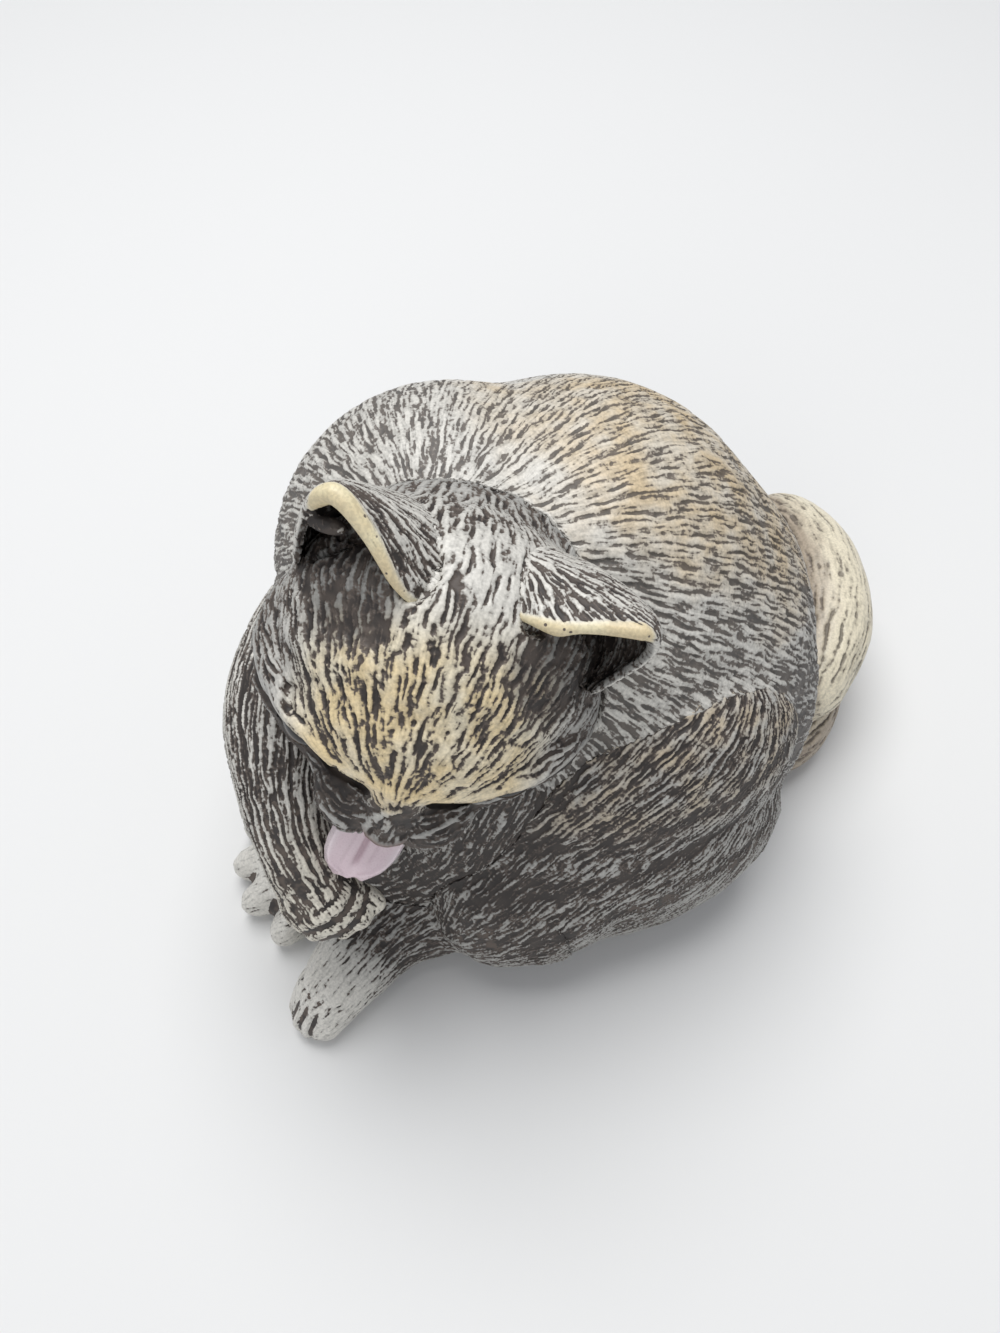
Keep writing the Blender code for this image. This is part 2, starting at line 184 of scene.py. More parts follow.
def carving(name, width, length):
    """A tree that lays a piece on the cast form, combs its fur flow flat and sinks the grooves."""
    tree = bpy.data.node_groups.new(name, "GeometryNodeTree")
    face = tree.interface
    face.new_socket("Geometry", in_out="INPUT", socket_type="NodeSocketGeometry")
    sockets = {}
    for label, kind in (("Cast form", "Object"), ("Material", "Material"), ("Lay within", "Float"),
                        ("Groove depth", "Float"), ("Groove level", "Float")):
        sockets[label] = face.new_socket(label, in_out="INPUT", socket_type="NodeSocket" + kind).identifier
    face.new_socket("Geometry", in_out="OUTPUT", socket_type="NodeSocketGeometry")
    given = tree.nodes.new("NodeGroupInput").outputs
    place = tree.nodes.new("GeometryNodeInputPosition").outputs[0]
    normal = tree.nodes.new("GeometryNodeInputNormal").outputs[0]

    def attribute(label, kind):
        return wire(tree, "GeometryNodeInputNamedAttribute", {"Name": label}, data_type=kind).outputs[0]

    def store(mesh, label, value, kind):
        inputs = {"Geometry": mesh, "Name": label, "Value": value}
        return wire(tree, "GeometryNodeStoreNamedAttribute", inputs, data_type=kind).outputs[0]

    form = wire(tree, "GeometryNodeObjectInfo", {"Object": given["Cast form"]}).outputs["Geometry"]
    near = wire(tree, "GeometryNodeProximity", {0: form}, target_element="FACES").outputs
    facing = wire(tree, "GeometryNodeSampleNearestSurface", {"Mesh": form, "Value": normal},
                  data_type="FLOAT_VECTOR").outputs[0]
    alike = ramp(tree, vectors(tree, "DOT_PRODUCT", facing, normal), 0.1, 0.5)
    reach = sums(tree, "MULTIPLY", given["Lay within"], 1.8)
    close = ramp(tree, near["Distance"], given["Lay within"], reach, 1.0, 0.0)
    share = sums(tree, "MULTIPLY", sums(tree, "MULTIPLY", close, alike), attribute("lay", "FLOAT"))
    ends = {0: share, 4: place, 5: near["Position"]}
    laid = wire(tree, "ShaderNodeMix", ends, data_type="VECTOR").outputs[1]
    moved = {"Geometry": given["Geometry"], "Position": laid}
    mesh = wire(tree, "GeometryNodeSetPosition", moved).outputs[0]
    mesh = store(mesh, "cast_place", place, "FLOAT_VECTOR")
    flow = attribute("fur_flow", "FLOAT_VECTOR")
    lift = vectors(tree, "MULTIPLY", normal, vectors(tree, "DOT_PRODUCT", flow, normal))
    combed = vectors(tree, "NORMALIZE", vectors(tree, "SUBTRACT", flow, lift))
    mesh = store(mesh, "fur_flow", combed, "FLOAT_VECTOR")
    value = strokes(tree, place, flow, width, length)
    value = sums(tree, "SUBTRACT", value, attribute("coat_dark", "FLOAT"))
    value = sums(tree, "SUBTRACT", value, given["Groove level"])
    sink = ramp(tree, value, -0.9, 0.5, -1.0, 0.0)
    sink = sums(tree, "MULTIPLY", sink, given["Groove depth"])
    sink = sums(tree, "MULTIPLY", sink, attribute("carve", "FLOAT"))
    sunk = {"Geometry": mesh, "Offset": vectors(tree, "MULTIPLY", normal, sink)}
    mesh = wire(tree, "GeometryNodeSetPosition", sunk).outputs[0]
    mesh = wire(tree, "GeometryNodeSetShadeSmooth", {"Geometry": mesh}).outputs[0]
    mesh = wire(tree, "GeometryNodeRealizeInstances", {"Geometry": mesh}).outputs[0]
    painted = {"Geometry": mesh, "Material": given["Material"]}
    mesh = wire(tree, "GeometryNodeSetMaterial", painted).outputs[0]
    tree.links.new(mesh, tree.nodes.new("NodeGroupOutput").inputs[0])
    return tree, sockets


def coat_paint(name, width, length, level, fade, patch_tint, stained):
    """Paint over carved fur: pale on the ridges, lighter toward their tops as dry-brushed paint and painted
    light, a dark wash in the grooves, a satin varnish over both.
    """
    material, tree, shader = new_paint(name)

    def attribute(label, socket):
        return wire(tree, "ShaderNodeAttribute", {}, attribute_name=label).outputs[socket]

    place = attribute("cast_place", "Vector")
    value = strokes(tree, place, attribute("fur_flow", "Vector"), width, length)
    value = sums(tree, "SUBTRACT", sums(tree, "SUBTRACT", value, attribute("coat_dark", "Fac")), level)
    ridge = ramp(tree, value, -0.2, 0.25)
    speck = mottle(tree, place, PAINT_SPECK, 1.0)
    pale = attribute("coat_colour", "Color")
    patch = ramp(tree, mottle(tree, place, OCHRE_PATCH, 3.0), 0.3, 0.66)
    patch = sums(tree, "MULTIPLY", patch, attribute("coat_colour", "Alpha"))
    pale = mixed(tree, patch, pale, (*patch_tint, 1))
    # Lighter toward each ridge's top: dry-brushed paint, and painted light that rounds the ridge.
    drybrush_and_ridge_light = ramp(tree, value, 0.0, 1.5, 0.76, 1.08)
    brushed_and_ridge_light = sums(tree, "MULTIPLY", drybrush_and_ridge_light, ramp(tree, speck, 0.35, 0.65, 0.88, 1.04))
    pale = vectors(tree, "MULTIPLY", pale, brushed_and_ridge_light)
    stain = mottle(tree, place, WASH_STAIN, 1.0)
    wash = mixed(tree, ramp(tree, value, -0.9, -0.1), DARK_WASH, BROWN_WASH)
    wash = mixed(tree, ramp(tree, stain, 0.42, 0.66, 0.0, stained), wash, BROWN_WASH)
    wash = mixed(tree, fade, wash, pale)
    bubbles = {"Vector": place, "Scale": 1 / BUBBLE_GAP}
    bubble = wire(tree, "ShaderNodeTexVoronoi", bubbles).outputs["Distance"]
    smooth = sums(tree, "SUBTRACT", 1.0, attribute("carve", "Fac"))
    pit = sums(tree, "MULTIPLY", ramp(tree, bubble, 0.10, 0.15, 1.0, 0.0), smooth)
    coat = mixed(tree, pit, mixed(tree, ridge, wash, pale), BROWN_WASH)
    tree.links.new(coat, shader.inputs["Base Color"])
    tree.links.new(ramp(tree, ridge, 0.0, 1.0, 0.6, 0.42), shader.inputs["Roughness"])
    height = sums(tree, "MULTIPLY_ADD", speck, 0.3, ramp(tree, value, -0.7, 0.5))
    height = sums(tree, "SUBTRACT", height, pit)
    bump = wire(tree, "ShaderNodeBump", {"Strength": 0.6, "Distance": 0.1 * MM, "Height": height})
    tree.links.new(bump.outputs[0], shader.inputs["Normal"])
    return material


def surface(mesh):
    """The mesh's points, in millimetres, and its normals."""
    count = len(mesh.vertices)
    points, normals = np.empty(count * 3, np.float32), np.empty(count * 3, np.float32)
    mesh.vertices.foreach_get("co", points)
    mesh.vertex_normals.foreach_get("vector", normals)
    return points.reshape(-1, 3) / MM, normals.reshape(-1, 3)


def move_points(mesh, points):
    mesh.vertices.foreach_set("co", (points * MM).astype(np.float32).ravel())


def keep(mesh, label, values):
    """Stores a value for each point."""
    mesh.attributes.new(label, "FLOAT", "POINT").data.foreach_set("value", values.astype(np.float32))


def furred(node, grain, rounds, flow, colour, width, length, depth, level=-0.1,
           warm=None, dark=None, lay=None, carve=None, sculpt=None, shape=None, fade=0.0, patch_tint=OCHRE,
           stained=0.6):
    """Dresses one solid. Its fields give values at an array of points, in millimetres, and of normals."""
    if shape:
        mesh = evened(node + "_fur", shape, grain, rounds)
    else:
        mesh = pressed(node + "_fur", [node], 0.0, grain, rounds)
    points, normals = surface(mesh)
    if sculpt:
        points = points + sculpt(points, normals)
        move_points(mesh, points)
    heading = flow(points, normals)
    heading = heading / np.linalg.norm(heading, axis=1, keepdims=True)
    mesh.attributes.new("fur_flow", "FLOAT_VECTOR", "POINT").data.foreach_set("vector", heading.ravel())
    tint = np.ones((len(points), 4))
    tint[:, :3] = colour(points, normals)
    tint[:, 3] = warm(points, normals) if warm else 0
    mesh.attributes.new("coat_colour", "FLOAT_COLOR", "POINT").data.foreach_set("color", tint.ravel())
    underside = step(-normals[:, 2], 0.4, 0.8) * step(1.5 - points[:, 2], 0, 1)
    # Each piece's dark field holds darker paint and painted shade; it sets how much of the coat lies in
    # wash.
    for label, field, usual in (("coat_dark", dark, 0.0), ("lay", lay, 1.0), ("carve", carve, 1.0)):
        values = field(points, normals) if field else np.full(len(points), usual)
        values = values * (1 - underside) + (-4 * underside if label == "coat_dark" else 0)
        keep(mesh, label, values)
    obj = add_piece(node + "_fur", mesh)
    tree, sockets = carving(node + "_carving", width, length)
    modifier = obj.modifiers.new("carving", "NODES")
    modifier.node_group = tree
    modifier[sockets["Cast form"]] = cast_form
    paint = coat_paint(node + "_coat", width, length, level, fade, patch_tint, stained)
    modifier[sockets["Material"]] = paint
    modifier[sockets["Lay within"]] = LAY_WITHIN
    modifier[sockets["Groove depth"]] = depth
    modifier[sockets["Groove level"]] = level
    obj = add_piece(node + "_fur", plain_mesh(obj))
    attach(obj, "root")
    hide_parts(node)
    return obj


def step(values, low, high):
    """Zero below the low value and one above the high one, with a smooth rise between."""
    t = np.clip((values - low) / (high - low), 0, 1)
    return t * t * (3 - 2 * t)


def blend(share, a, b):
    """Rows from a to b, by a share for each row."""
    return a + share[:, None] * (b - a)


def torso_flow(p, n):
    away = p - NAPE
    away /= np.linalg.norm(away, axis=1, keepdims=True)
    return away + step(40 - p[:, 2], 0, 25)[:, None] * FLANK_LEAN


def torso_warm(p, n):
    """Over the back toward the rump, where the ochre shows in patches."""
    return 0.75 * step(n @ RUMP_FACING, 0.66, 0.92) * step(p[:, 1], -3, 8)


def torso_colour(p, n):
    coat = blend(step(p[:, 2], 26, 50), GREY, PALE)
    return blend(0.6 * torso_warm(p, n), coat, RUMP_TAN)


# Painted shade: the torso is darker toward the bottom, below the head and chest; it is also darker over the
# right shoulder and lighter up by the nape.
def torso_dark(p, n):
    shoulder = step(-p[:, 0] - 0.8 * p[:, 1], 18, 30)
    return 0.55 * step(48 - p[:, 2], 0, 18) + 0.3 * shoulder - 0.35 * step(p[:, 2], 52, 62)


furred("torso", 0.445 * MM, 3, torso_flow, torso_colour, 0.46 * MM, 2.8 * MM, 0.26 * MM,
       warm=torso_warm, dark=torso_dark, fade=0.16)

# Hind legs
# Castings pinned to the hips: a folded thigh, and a long foot flat on the ground with four short toes.
# The strokes run forward and down the thigh, then along the foot; the toes are wiped nearly clean.

TOE_GAPS = (-1.6, 0, 1.6)
THIGH_STRIPES = (32, 26, 19)
DIP_FILL = 2.0
DIP_AT = -8.5
DIP_REACH = 4.0


def along(route):
    """A flow that follows a route of points, nearest stretches first."""
    route = np.array(route, float)
    fine = np.concatenate([a + np.linspace(0, 1, 12, endpoint=False)[:, None] * (b - a)
                           for a, b in zip(route, route[1:])])
    headings = np.gradient(fine, axis=0)
    headings /= np.linalg.norm(headings, axis=1, keepdims=True)

    def flow(p, n):
        total = np.zeros_like(p)
        for point, heading in zip(fine, headings):
            closeness = np.exp(-((p - point) ** 2).sum(1) / 40) + 1e-12
            total += closeness[:, None] * heading
        return total

    return flow


def hind_leg_fur(node, side, hip, heel, toe):
    """One hind leg, from how far out its hip is and where its heel and its toes stand on the ground."""
    heel, toe = np.array(heel), np.array(toe)
    ahead = (toe - heel) / np.linalg.norm(toe - heel)
    aside = np.array((-ahead[1], ahead[0]))
    foot_flow = along([(side * hip, 8, 5), (*heel, 6.5), (*(toe - 6.5 * ahead), 5), (*toe, 3)])

    def short_of_toe(p):
        return (toe - p[:, :2]) @ ahead

    def toe_lines(p):
        """One in the lines between the toes and in the crease across them."""
        back, across = short_of_toe(p), (p[:, :2] - toe) @ aside
        between = sum(np.exp(-((across - gap) / 0.3) ** 2) for gap in TOE_GAPS) * step(3.4 - back, 0, 1.2)
        crease = 0.5 * np.exp(-((back - 3.6 - 0.15 * across ** 2) / 0.35) ** 2)
        return np.clip(between + crease, 0, 1)

    def flow(p, n):
        thigh = step(p[:, 2], 8, 13) * step(short_of_toe(p), 14, 22)
        rear = step(p[:, 1], 6, 24)
        down = blend(rear, np.array((side * 0.15, -0.9, -0.5)), np.array((side * 0.3, -0.25, -0.9)))
        return blend(thigh, foot_flow(p, n), down)

    def colour(p, n):
        # The lower thigh is darker grey, partly its paint and partly painted shade where it turns down from
        # the light.
        thigh = blend(step(p[:, 2], 18, 40), GREY * 0.85, GREY)
        return blend(step(15 - short_of_toe(p), 0, 8), thigh, PALE)

    def warm(p, n):
        return 0.55 * step(p[:, 2], 28, 38)

    def dark(p, n):
        stripes = sum(np.exp(-((p[:, 2] - height - 0.15 * p[:, 1]) / 1.2) ** 2) for height in THIGH_STRIPES)
        # The 0.2 over the leg is partly darker paint and partly painted shade; the front of the thigh, under
        # the head and chest, gets more painted shade.
        coat = 0.2 + 0.8 * stripes * step(p[:, 2], 13, 18) + 0.25 * step(-p[:, 1], 4, 14)
        return coat - (1.2 + coat) * step(16 - short_of_toe(p), 0, 9) + 0.9 * toe_lines(p)

    def low_thigh(p):
        """One over the outer side of the left thigh, above the foot."""
        return step(side * p[:, 0], 15, 18) * step(p[:, 2], 5, 10) * step(26 - p[:, 2], 0, 8) * (side > 0)

    def lay(p, n):
        return (1 - step(12 - short_of_toe(p), 0, 4)) * (1 - low_thigh(p))

    def sculpt(p, n):
        """Sinks the lines between the toes and fills the dip behind the left knee."""
        filled = DIP_FILL * np.exp(-((p[:, 1] - DIP_AT) / DIP_REACH) ** 2) * low_thigh(p)
        return n * (filled - 0.4 * toe_lines(p) * step(n[:, 2], -0.3, 0.2))[:, None]

    furred(node, 0.285 * MM, 4, flow, colour, 0.44 * MM, 2.4 * MM, 0.24 * MM, warm=warm, dark=dark, lay=lay,
           sculpt=sculpt, stained=0.2)


hind_leg_fur("left_hind_leg", 1, 16, (8.6, -24.5), (15.2, -42))
hind_leg_fur("right_hind_leg", -1, 25.5, (-19.5, -14), (-19, -27))

# Forelegs
# Castings pinned to the shoulders: the left one stands, toes spread; the right one is raised to the mouth.
# Long thin strokes run down to the paws, and curved creases cross the raised toes.

STANDING_ROUTE = ((8.5, -9, 36), (9, -14, 25), (5, -21, 13), (-3, -28, 6), (-6.5, -35, 4), (-7.5, -41, 2))
RAISED_ROUTE = ((-14, -10, 39), (-12, -20, 40), (-5.5, -28.5, 39.5), (3, -33, 36), (8, -33.8, 31.5),
                (14, -31, 27))
RAISED_TOES = np.array((13.8, -32.4, 27.2))
RAISED_AHEAD = np.array((0.75, 0.43, -0.5))
RAISED_ASIDE = np.array((-0.5, 0.87, 0))
RAISED_CREASES = (-2.2, -0.2, 1.6)

standing_flow = along(STANDING_ROUTE)
raised_flow = along(RAISED_ROUTE)


# Painted shade: the upper leg, under the head and chest, is darker grey than the pale paw.
def standing_colour(p, n):
    return blend(step(-p[:, 1], 26, 34), GREY * 0.9, PALE)


# Painted shade over the upper leg, under the head; the paw is wiped nearly clean.
def standing_dark(p, n):
    return 0.8 - 2.1 * step(-p[:, 1], 27, 36)


def standing_lay(p, n):
    return 1 - step(-p[:, 1], 28, 32)


def toe_arcs(p):
    """One in the curved creases across the raised toes."""
    out = (p - RAISED_TOES) @ RAISED_AHEAD
    aside = (p - RAISED_TOES) @ RAISED_ASIDE
    arcs = sum(np.exp(-((out - reach + 0.1 * aside ** 2) / 0.35) ** 2) for reach in RAISED_CREASES)
    return np.clip(arcs, 0, 1)


def raised_colour(p, n):
    return blend(step(p[:, 0], 4, 12), PALE, 0.6 * PALE + 0.4 * CREAM)


def raised_dark(p, n):
    paw = step((p - RAISED_TOES) @ RAISED_AHEAD, -4, -1)
    # The 0.4 over the whole leg is painted shade; the paw is wiped clean and the creases across its toes are
    # darkened.
    return 0.4 - 1.2 * paw + 2.6 * toe_arcs(p) * paw


def raised_lay(p, n):
    return 1 - step(p[:, 0], 2, 6)


def raised_sculpt(p, n):
    return n * (-0.35 * toe_arcs(p) * step((p - RAISED_TOES) @ RAISED_AHEAD, -3, -1))[:, None]


furred("standing_foreleg", 0.22 * MM, 4, standing_flow, standing_colour, 0.44 * MM, 3.0 * MM, 0.2 * MM,
       dark=standing_dark, lay=standing_lay, stained=0.1)
furred("raised_foreleg", 0.22 * MM, 40, raised_flow, raised_colour, 0.46 * MM, 5.0 * MM, 0.26 * MM,
       dark=raised_dark, lay=raised_lay, sculpt=raised_sculpt, stained=0.1)

# Tail
# Casting pinned behind the rump; it lies on the ground and doubles back over itself.
# Shallow strokes along its length, cream on top; brown painted shade on the side that faces the rump and
# under the fold.

# Painted shade on the side that faces the rump and under the fold.
TAIL_SHADE_BROWN = np.array((0.40, 0.33, 0.25))
TAIL_OUTWARD = (0.42, 0.90, 0.12)
TAIL_ROUTE = ((4, 28, 6), (9, 36, 5.6), (4, 45, 5.6), (-8, 53.5, 7), (-18.5, 54, 12.6), (-9.5, 53, 16.4),
              (1, 47.8, 16.2), (7, 40.4, 14.6))

tail_flow = along(TAIL_ROUTE)


def tail_shaded_side(p, n):
    """One on the side that faces the rump, and under the fold: the painted shade."""
    return np.maximum(step(-(n @ TAIL_OUTWARD), -0.35, 0.45), step(11.5 - p[:, 2], 0, 4))


def tail_colour(p, n):
    return blend(tail_shaded_side(p, n), CREAM, TAIL_SHADE_BROWN)


# More wash on the shaded side, as painted shade.
def tail_dark(p, n):
    return 0.45 * tail_shaded_side(p, n) - 0.85


furred("tail", 0.24 * MM, 4, tail_flow, tail_colour, 0.75 * MM, 5.5 * MM, 0.32 * MM,
       dark=tail_dark, fade=0.35)

# Head
# Casting seated in the hollow of the neck, bowed and turned to the left, with a small smooth nose.
# The strokes part at the bridge of the nose; the forehead is cream, the cheeks and the muzzle are darker.

HEAD_AT = np.array((5.6, -14.5, 57.3))
HEAD_TURN = np.array(Euler([math.radians(angle) for angle in (35, 14, 53)]).to_matrix())
NOSE_BRIDGE = np.array((0.0, -16.0, 1.0))
NOSE_SKIN = np.array((0.16, 0.10, 0.085))
YELLOW = np.array((0.76, 0.58, 0.29))
BROW_X = (0, 3, 7, 10, 12.4, 15.3, 17.5)
BROW_Y = (-15.5, -15.0, -14.0, -12.1, -11.0, -8.8, -5.5)
EAR_HOLLOWS = ((11.0, 0.0, 9.0), (14.0, 3.0, 5.0), (-9.5, 2.0, 10.0), (-11.5, 6.0, 6.0))
SKULL = np.array((16.5, 15.5, 12.4))
SLOT_FILL = 0.97
EYE_AT = np.array((9.7, -10.2, -1.5))
EYE_CORNER = (((-12.1, -9.8, 3.8), (-12.4, -8.9, 3.6), (-12.7, -8.0, 3.4)),)
# Painted highlights along the lips, up the bridge of the nose and under the left brow.
HIGHLIGHT_LINES = (
    ((2.7, -19.6, -2.5), (4.0, -19.0, -2.2), (5.1, -17.9, -1.9), (6.1, -16.9, -2.2), (8.6, -16.3, -5.2)),
    ((-6.9, -19.0, -3.5), (-5.5, -19.8, -3.1), (-4.0, -20.4, -3.3)),
    ((-2.2, -19.8, -2.5), (-1.8, -18.7, -0.3), (-1.3, -17.8, 1.6), (-0.5, -17.1, 2.8), (0.5, -16.6, 3.3)),
    ((6.6, -15.4, -2.5), (9.6, -14.5, -4.1), (11.3, -13.1, -3.8), (12.3, -12.7, -4.1)),
)


def head_place(p):
    """Points in the head's own frame: nose to -Y, crown to +Z."""
    return (p - HEAD_AT) @ HEAD_TURN


def nose_share(q):
    """One on the nose leather, a triangle at the tip of the muzzle."""
    drop = (-2.0 - q[:, 2]) / 3.4
    half = 2.7 * (1 - 0.75 * np.clip(drop, 0, 1))
    share = step(half - abs(q[:, 0]), 0, 0.5) * step(drop, -0.05, 0.1)
    return share * step(1 - drop, -0.05, 0.1) * step(-q[:, 1], 17, 18)


def eye_share(q):
    """One on the lids, a ring around each eye."""
    gap = np.linalg.norm(np.stack((abs(q[:, 0]), q[:, 1], q[:, 2]), 1) - EYE_AT, axis=1)
    return step(4.3 - gap, 0, 0.5)


def past_brow(q):
    """How far points lie in front of the edge of the brow, seen from above the head."""
    return np.interp(abs(q[:, 0]), BROW_X, BROW_Y) - q[:, 1]


def head_flow(p, n):
    q = head_place(p)
    fan = q - NOSE_BRIDGE
    fan /= np.linalg.norm(fan, axis=1, keepdims=True) + 0.01
    jaw = np.stack((np.sign(q[:, 0]) * 0.85, np.full(len(q), 0.5), np.full(len(q), -0.1)), 1)
    return blend(step(past_brow(q), -0.4, 0.8) * step(abs(q[:, 0]), 2.5, 5), fan, jaw) @ HEAD_TURN.T


def line(values, middle, half):
    """One at the middle value, fading out on both sides."""
    return np.exp(-((values - middle) / half) ** 2)


def traced(q, routes, half):
    """One along routes of points, fading out over half a line's width."""
    gaps = []
    for route in routes:
        for a, b in zip(np.array(route[:-1]), np.array(route[1:])):
            along_it = np.clip((q - a) @ (b - a) / ((b - a) @ (b - a)), 0, 1)
            gaps.append(np.linalg.norm(q - a - along_it[:, None] * (b - a), axis=1))
    return line(np.min(gaps, axis=0), 0, half)


def ear_hollow(q):
    """One on the stretch of the skull that each ear opens over, sunk and painted dark as shade under the
    rim.
    """
    shares = [step(7 - np.linalg.norm(q - np.array(place), axis=1), 0, 4) for place in EAR_HOLLOWS]
    return np.max(shares, axis=0)


def head_colour(p, n):
    q = head_place(p)
    x, y, z = abs(q[:, 0]), q[:, 1], q[:, 2]
    forehead = step(z, 0, 4) * step(-y, -5, 3) * step(14 - x, 0, 5) * step(-past_brow(q), -0.6, 0.2)
    crown = blend(step(z, -4, 9), GREY * 0.8, PALE)
    tint = blend(forehead, crown, blend(0.25 * step(-y, 4, 14), CREAM, YELLOW))
    # The skull under each ear is painted dark grey as painted shade under the rim.
    return blend(nose_share(q), blend(ear_hollow(q), tint, GREY * 0.55), NOSE_SKIN)


def head_warm(p, n):
    q = head_place(p)
    return 0.7 * step(q[:, 2], 0, 4) * step(-q[:, 1], -2, 4) * step(13 - abs(q[:, 0]), 0, 5)


def head_dark(p, n):
    q = head_place(p)
    x, z, front = abs(q[:, 0]), q[:, 2], past_brow(q)
    cheek = step(x, 10, 14) * step(9 - z, 0, 5)
    # The crown is painted lighter, as painted light on the back of the head.
    crown = step(q[:, 1], -1, 5) * step(12 - q[:, 1], 0, 4)
    muzzle = step(front, 0.2, 1.2)
    # The brow ridge is painted paler, as a painted highlight.
    ridge = line(front, -0.6, 0.5) * step(z, -3, -1)
    crease = line(front, 0.7, 0.4) * step(x, 2, 4)
    # The ear hollows are painted darker, as painted shade under the ear rims.
    shade = 0.4 * cheek + 1.0 * muzzle + 0.9 * ear_hollow(q) + 2.2 * crease - 0.35 * crown
    # Pale lines along the lips, up the nose and under the left brow are painted highlights.
    shade -= 1.0 * ridge + 2.6 * traced(q, HIGHLIGHT_LINES, 0.3) * muzzle
    shade += 7 * traced(q, EYE_CORNER, 0.6) - 3 * traced(q, EYE_CORNER, 1.1)
    return shade - 0.1 + 1.5 * eye_share(q) - 4 * nose_share(q)


def head_lay(p, n):
    return step(head_place(p)[:, 1], -2, 4)


def head_carve(p, n):
    q = head_place(p)
    return (1 - nose_share(q)) * (1 - eye_share(q))


def head_sculpt(p, n):
    """Raises the nose and the brow; sinks the nostrils, the mouth, the eye's corner and the ear hollows."""
    q = head_place(p)
    x, y, z = abs(q[:, 0]), q[:, 1], q[:, 2]
    tip = step(-y, 17, 18.5)
    nostril = np.exp(-((x - 1.15) / 0.5) ** 2 - ((z + 3.7) / 0.45) ** 2) * tip
    groove = np.exp(-(x / 0.35) ** 2) * tip * step(-z, 5.2, 5.8) * step(9.2 + z, 0, 0.6)
    mouth = np.exp(-((z + 9.0 - 0.03 * x * x) / 0.4) ** 2) * step(-y, 13, 15)
    front = past_brow(q)
    crease = line(front, 0.7, 0.4) * step(x, 2, 4) * step(z, -9, -7)
    brow = line(front, -0.6, 0.7) * step(z, -2, 0)
    sunk = 0.75 * nostril + 0.45 * groove + 0.5 * mouth + 0.5 * crease + 0.8 * ear_hollow(q)
    sunk += 0.7 * traced(q, EYE_CORNER, 0.5)
    return n * (0.3 * nose_share(q) + 0.2 * brow - sunk)[:, None]


# Copies of the ears, drawn in to just under the skull, fill their slots.
skull = bmesh.new()
skull.from_mesh(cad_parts["head"].data)
head_verts = len(skull.verts)
for node in ("left_ear", "right_ear"):
    skull.from_mesh(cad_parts[node].data)
for vert in list(skull.verts)[head_verts:]:
    q = head_place(np.array(vert.co) / MM)
    q = q * min(1, SLOT_FILL / np.linalg.norm(q / SKULL))
    vert.co = Vector((HEAD_TURN @ q + HEAD_AT) * MM)
bmesh.ops.remove_doubles(skull, verts=skull.verts, dist=WELD)

furred("head", 0.242 * MM, 3, head_flow, head_colour, 0.55 * MM, 2.8 * MM, 0.3 * MM, warm=head_warm,
       dark=head_dark, lay=head_lay, carve=head_carve, sculpt=head_sculpt, shape=skull, patch_tint=YELLOW)

# Ears
# Cupped shells glued into slots of the head, their backs running out into the crown.
# Strokes over the back, a dark wash inside deepened by painted shade in the hollow, and a thick cream rim
# pitted with small bubbles.

RIM_CREAM = np.array((0.72, 0.645, 0.43))
FLAP_SIZE = (2.1, 1.0, 0.8)
EDGE_STEPS = 10
WALL_STEPS = 40
LEFT_EAR = (
    ((5.6, 4.1, 10.6), (4.4, 6.6, 10.2), (3.8, 8.6, 8.4), 0.5),
    ((7.3, 3.9, 11.6), (6.6, 8.0, 10.5), (5.4, 10.4, 6.4), 0.75),
    ((9.2, 3.7, 12.2), (8.6, 9.3, 10.8), (7.2, 11.2, 4.6), 0.95),
    ((10.6, 4.3, 12.7), (10.4, 10.6, 10.8), (9.0, 11.0, 2.5), 0.65),
    ((12.6, 4.85, 13.2), (12.2, 11.8, 10.5), (10.5, 10.5, 0.0), 0.75),
    ((14.7, 5.2, 13.7), (14.4, 11.0, 9.5), (11.6, 10.0, -0.6), 0.8),
    ((16.2, 5.45, 14.0), (16.4, 10.2, 8.8), (12.5, 9.5, -1.0), 0.85),
    ((17.1, 5.4, 13.6), (19.3, 9.0, 8.0), (13.5, 7.5, -1.5), 0.85),
    ((17.9, 4.6, 12.2), (20.0, 6.5, 7.0), (14.3, 5.5, -1.5), 0.65),
    ((17.8, 3.35, 10.0), (19.4, 4.2, 5.5), (14.6, 3.5, -1.0), 0.5),
    ((17.0, 2.1, 8.0), (18.3, 2.3, 4.0), (14.8, 1.5, 0.0), 0.5),
    ((15.0, -1.0, 4.0), (15.0, -1.0, 3.0), (14.5, -1.0, 2.0), 0.4),
)
RIGHT_EAR = (
    ((-3.6, 2.6, 11.2), (-2.4, 4.4, 11.0), (-1.6, 6.0, 9.8), 0.5),
    ((-5.6, 3.7, 12.4), (-3.8, 6.4, 11.6), (-2.2, 8.8, 8.4), 0.6),
    ((-7.0, 5.1, 13.2), (-5.0, 8.2, 11.8), (-3.2, 10.6, 6.8), 0.7),
    ((-8.5, 6.7, 13.8), (-6.5, 10.0, 11.6), (-4.8, 11.4, 5.2), 0.8),
    ((-10.1, 8.0, 14.2), (-8.0, 11.2, 11.0), (-6.2, 12.0, 3.0), 0.85),
    ((-11.5, 9.1, 14.5), (-10.2, 12.0, 9.5), (-8.0, 12.0, 0.6), 0.95),
    ((-12.8, 9.7, 14.4), (-12.2, 12.2, 8.0), (-9.8, 11.3, -1.5), 1.0),
    ((-13.7, 9.1, 13.6), (-14.4, 11.4, 7.0), (-11.2, 10.3, -1.8), 0.95),
    ((-14.3, 8.3, 12.2), (-15.6, 9.8, 6.0), (-12.3, 9.2, -2.0), 0.75),
    ((-14.7, 7.3, 10.5), (-16.1, 8.2, 5.0), (-13.0, 7.8, -2.3), 0.55),
    ((-14.9, 5.9, 8.5), (-16.4, 6.8, 4.0), (-13.6, 6.4, -2.5), 0.5),
    ((-14.8, 3.2, 4.8), (-15.2, 3.4, 3.0), (-14.2, 3.4, 1.0), 0.4),
)


